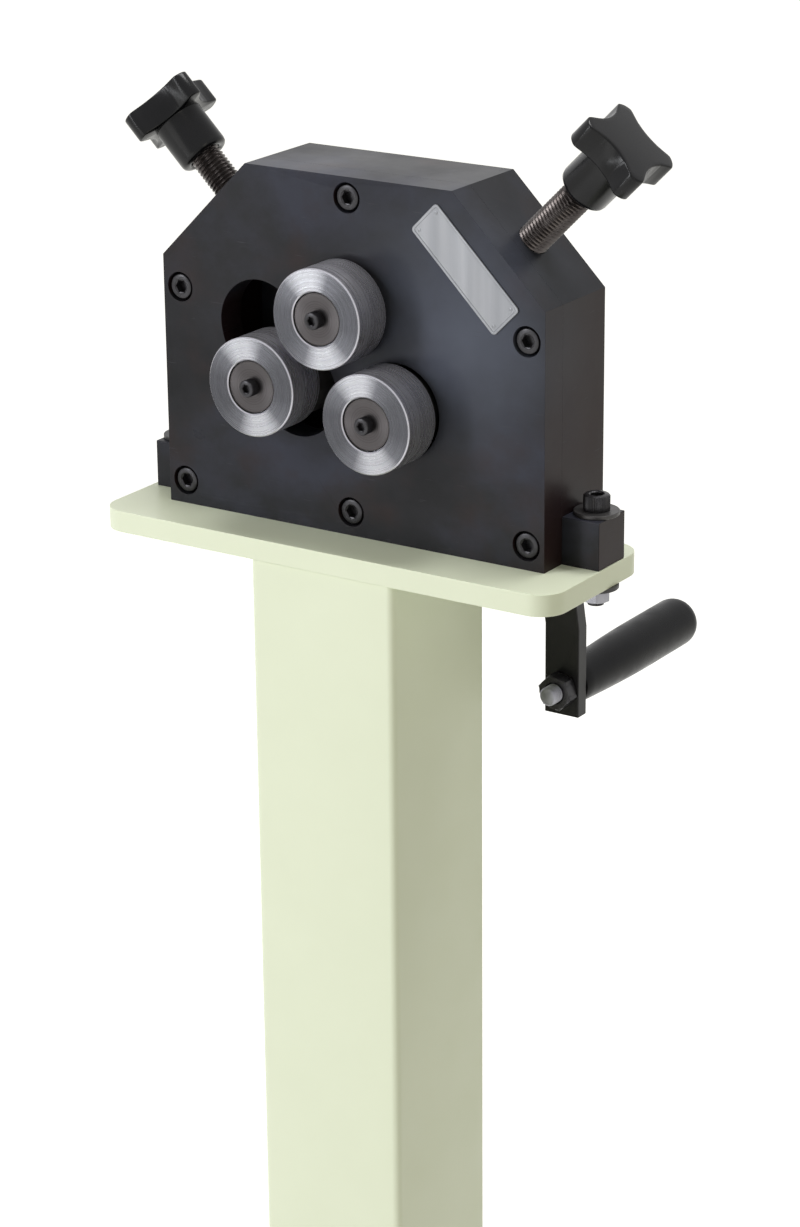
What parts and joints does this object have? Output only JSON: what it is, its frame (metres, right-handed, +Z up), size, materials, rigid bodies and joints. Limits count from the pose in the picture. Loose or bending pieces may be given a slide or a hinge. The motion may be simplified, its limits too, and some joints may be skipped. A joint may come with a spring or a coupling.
{
  "type": "manual three-roll ring roller on a pedestal",
  "caption": "Pedestal ring roller: a hand crank drives the top roller through gears, and star knobs on threaded screws set the two lower rollers on swinging arms.",
  "frame": {"origin": "on the floor, at the middle of the foot plate's underside and under the post's axis", "axes": "+Z up along the post, -Y towards the rollers' faces, +X to the right seen from the front"},
  "size_m": [0.4, 0.3884, 1.1199],
  "materials": {
    "stand_paint": "pale green satin paint",
    "head_finish": "blue-grey black, satin, faint scratches",
    "black_bolts": "black oxide",
    "zinc": "zinc plated",
    "badge": "plain brushed plate",
    "bronze": "machined bronze",
    "shaft_steel": "ground steel",
    "arm_steel": "dark machined steel",
    "roller_steel": "lathe turned, bright",
    "dark_steel": "darkened steel",
    "screw_steel": "dark threaded steel",
    "black_paint": "gloss black",
    "black_plastic": "gloss black"
  },
  "bodies": {
    "frame": {"foot_plate": "stand_paint", "post_tube": "stand_paint", "top_plate": "stand_paint", "body_casing": "head_finish", "front_plate": "head_finish", "left_lug": "head_finish", "right_lug": "head_finish", "lug_bolts": "black_bolts", "lug_washers": "zinc", "lug_nuts": "zinc", "front_plate_screws": "black_bolts", "badge_plate": "badge", "gear_case": "head_finish", "gear_cover": "head_finish", "cover_screws": "black_bolts", "top_front_bush": "bronze", "top_rear_bush": "bronze", "top_cover_bush": "bronze", "crank_front_bush": "bronze", "crank_rear_bush": "bronze", "pinch_pivot_pin": "shaft_steel"},
    "top_spindle": {"top_shaft": "shaft_steel", "top_roller": "roller_steel", "top_roller_key": "shaft_steel", "top_roller_washer": "dark_steel", "top_roller_screw": "dark_steel", "drive_gear": "shaft_steel", "drive_gear_key": "shaft_steel"},
    "crank": {"crank_shaft": "shaft_steel", "crank_pinion": "shaft_steel", "pinion_key": "shaft_steel", "crank_arm": "black_paint", "crank_washer": "zinc", "crank_screw": "black_bolts", "grip_bolt": "zinc", "grip_nut": "black_bolts"},
    "grip": {"crank_grip": "black_plastic"},
    "left_lever": {"left_arm": "arm_steel", "left_axle": "shaft_steel", "left_roller_washer": "dark_steel", "left_roller_screw": "dark_steel"},
    "left_roll": {"left_roller": "roller_steel", "left_roller_bush": "bronze"},
    "left_swivel": {"left_swivel_block": "arm_steel", "left_swivel_pin": "shaft_steel", "left_retaining_pins": "shaft_steel"},
    "left_adjuster": {"left_screw": "screw_steel", "left_knob": "black_plastic"},
    "right_lever": {"right_arm": "arm_steel", "right_axle": "shaft_steel", "right_roller_washer": "dark_steel", "right_roller_screw": "dark_steel"},
    "right_roll": {"right_roller": "roller_steel", "right_roller_bush": "bronze"},
    "right_swivel": {"right_swivel_block": "arm_steel", "right_swivel_pin": "shaft_steel", "right_retaining_pins": "shaft_steel"},
    "right_adjuster": {"right_screw": "screw_steel", "right_knob": "black_plastic"}
  },
  "joints": [
    {"name": "crank_spin", "type": "hinge", "parent": "frame", "child": "crank", "pos_m": [0.062, 0.0555, 0.99913], "axis": [0, 1, 0], "continuous": true},
    {"name": "top_roller_spin", "type": "hinge", "parent": "frame", "child": "top_spindle", "pos_m": [0, -0.0145, 1.015], "axis": [0, 1, 0], "continuous": true},
    {"name": "grip_spin", "type": "hinge", "parent": "crank", "child": "grip", "pos_m": [0.062, 0.1455, 0.80012], "axis": [0, 1, 0], "continuous": true},
    {"name": "left_screw_travel", "type": "slide", "parent": "frame", "child": "left_swivel", "axis": [0.7071, 0, -0.7071], "range_m": [-0.01739, 0.00744]},
    {"name": "left_knob_turn", "type": "hinge", "parent": "left_swivel", "child": "left_adjuster", "pos_m": [-0.0239, 0.0155, 0.9911], "axis": [0.7071, 0, -0.7071], "range_deg": [-3130, 1340]},
    {"name": "left_arm_swing", "type": "hinge", "parent": "frame", "child": "left_lever", "pos_m": [0, 0.0155, 1.015], "axis": [0, -1, 0], "range_deg": [-28.05, 12.05]},
    {"name": "left_roller_spin", "type": "hinge", "parent": "left_lever", "child": "left_roll", "pos_m": [-0.03889, -0.0285, 0.97611], "axis": [0, 1, 0], "continuous": true},
    {"name": "right_screw_travel", "type": "slide", "parent": "frame", "child": "right_swivel", "axis": [-0.7071, 0, -0.7071], "range_m": [-0.00238, 0.00238]},
    {"name": "right_knob_turn", "type": "hinge", "parent": "right_swivel", "child": "right_adjuster", "pos_m": [0.04457, 0.0155, 1.01177], "axis": [-0.7071, 0, -0.7071], "range_deg": [-428, 428]},
    {"name": "right_arm_swing", "type": "hinge", "parent": "frame", "child": "right_lever", "pos_m": [0.06647, 0.0155, 0.98987], "axis": [0, -1, 0], "range_deg": [-4.45, 4.45]},
    {"name": "right_roller_spin", "type": "hinge", "parent": "right_lever", "child": "right_roll", "pos_m": [0.0275, -0.0285, 0.96737], "axis": [0, 1, 0], "continuous": true}
  ],
  "couplings": [
    {"joint": "top_roller_spin", "follows": "crank_spin", "ratio": -0.52381},
    {"joint": "left_knob_turn", "follows": "left_screw_travel", "rad_per_m": 3141.6},
    {"joint": "left_arm_swing", "follows": "left_screw_travel", "rad_per_m": 28.043},
    {"joint": "right_knob_turn", "follows": "right_screw_travel", "rad_per_m": 3141.6},
    {"joint": "right_arm_swing", "follows": "right_screw_travel", "rad_per_m": 32.286}
  ]
}
